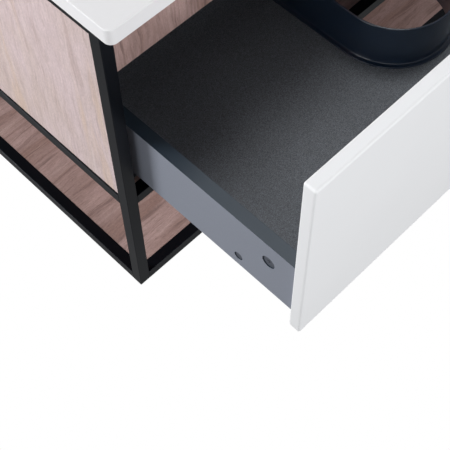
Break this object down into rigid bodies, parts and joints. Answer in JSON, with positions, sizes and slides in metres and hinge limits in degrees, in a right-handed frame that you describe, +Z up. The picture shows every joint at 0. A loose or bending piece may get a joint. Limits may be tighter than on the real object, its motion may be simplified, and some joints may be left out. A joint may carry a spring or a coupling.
{
  "type": "vessel basin washstand",
  "caption": "Wall-hung washstand: round vessel basin on a white slab, black square-tube frame, oak side panels and open shelf, one white drawer with a slot round the trap.",
  "frame": {"origin": "on the wall plane, in the middle of the four wall fixings", "axes": "+Z up, +Y into the wall, +X to the right when facing the washstand"},
  "size_m": [0.81, 0.744, 0.667],
  "materials": {
    "black_steel": "satin powder coat",
    "black_plastic": "matt",
    "zinc_steel": "zinc plated",
    "slide_steel": "galvanised",
    "oak_side": "light oak, vertical grain, matt",
    "oak_shelf": "light oak, grain along the width, matt",
    "white_slab": "white, satin solid surface",
    "basin_ceramic": "white glaze",
    "black_rubber": "matt",
    "chrome": "polished",
    "white_lacquer": "white lacquered board, satin",
    "anthracite_board": "anthracite coated board, satin",
    "anthracite_floor": "anthracite coated board with fine fleck",
    "navy_plastic": "dark blue, satin",
    "grey_plastic": "matt",
    "orange_plastic": "matt"
  },
  "bodies": {
    "frame": {"post_front_left": "black_steel", "post_front_right": "black_steel", "post_rear_left": "black_steel", "post_rear_right": "black_steel", "bottom_rail_front": "black_steel", "bottom_rail_rear": "black_steel", "bottom_rail_left": "black_steel", "bottom_rail_right": "black_steel", "mid_rail_front": "black_steel", "mid_rail_rear": "black_steel", "mid_rail_left": "black_steel", "mid_rail_right": "black_steel", "top_rail_rear": "black_steel", "top_rail_left": "black_steel", "top_rail_right": "black_steel", "post_plugs": "black_plastic", "wall_sleeves": "zinc_steel", "support_tabs": "black_steel", "tab_screws": "zinc_steel", "side_panel_left": "oak_side", "side_panel_right": "oak_side", "bottom_shelf": "oak_shelf", "carcass_bottom": "oak_shelf", "front_stretcher": "oak_side", "rear_stretcher": "oak_side", "slab_brackets": "zinc_steel", "countertop": "white_slab", "basin": "basin_ceramic", "waste_gasket": "black_rubber", "waste_body": "chrome", "waste_washer": "black_rubber", "waste_nut": "chrome", "tailpipe_nut": "chrome", "tailpipe": "chrome", "trap_nut": "chrome", "trap_body": "chrome", "trap_cup": "chrome", "outlet_nut": "chrome", "outlet_pipe": "chrome", "wall_rosette": "chrome", "slide_fixed_left": "slide_steel", "slide_fixed_right": "slide_steel", "slide_screws": "zinc_steel"},
    "plug": {"waste_plug": "chrome", "plug_seal": "black_rubber"},
    "slide_middle_left": {"slide_mid_left": "slide_steel"},
    "slide_middle_right": {"slide_mid_right": "slide_steel"},
    "drawer": {"drawer_front": "white_lacquer", "drawer_side_left": "anthracite_board", "drawer_side_right": "anthracite_board", "drawer_floor": "anthracite_floor", "drawer_backs": "anthracite_board", "pipe_cover": "navy_plastic", "cam_fittings": "grey_plastic", "floor_fittings": "grey_plastic", "slide_drawer_left": "slide_steel", "slide_drawer_right": "slide_steel", "catch_bodies": "grey_plastic"},
    "lever_left": {"catch_lever_left": "orange_plastic"},
    "lever_right": {"catch_lever_right": "orange_plastic"}
  },
  "joints": [
    {"name": "drawer_slide", "type": "slide", "parent": "frame", "child": "drawer", "axis": [0, -1, 0], "range_m": [-0.259, 0.121]},
    {"name": "slide_middle_left_run", "type": "slide", "parent": "frame", "child": "slide_middle_left", "axis": [0, -1, 0], "range_m": [-0.1295, 0.0605]},
    {"name": "slide_middle_right_run", "type": "slide", "parent": "frame", "child": "slide_middle_right", "axis": [0, -1, 0], "range_m": [-0.1295, 0.0605]},
    {"name": "plug_lift", "type": "slide", "parent": "frame", "child": "plug", "axis": [0, 0, 1], "range_m": [0, 0.008]},
    {"name": "lever_left_squeeze", "type": "hinge", "parent": "drawer", "child": "lever_left", "pos_m": [-0.326, -0.649, -0.119], "axis": [0, 0, 1], "range_deg": [0, 12], "stiffness_Nm_per_rad": 0.4},
    {"name": "lever_right_squeeze", "type": "hinge", "parent": "drawer", "child": "lever_right", "pos_m": [0.326, -0.649, -0.119], "axis": [0, 0, -1], "range_deg": [0, 12], "stiffness_Nm_per_rad": 0.4}
  ],
  "couplings": [
    {"joint": "slide_middle_left_run", "follows": "drawer_slide", "ratio": 0.5},
    {"joint": "slide_middle_right_run", "follows": "drawer_slide", "ratio": 0.5}
  ]
}
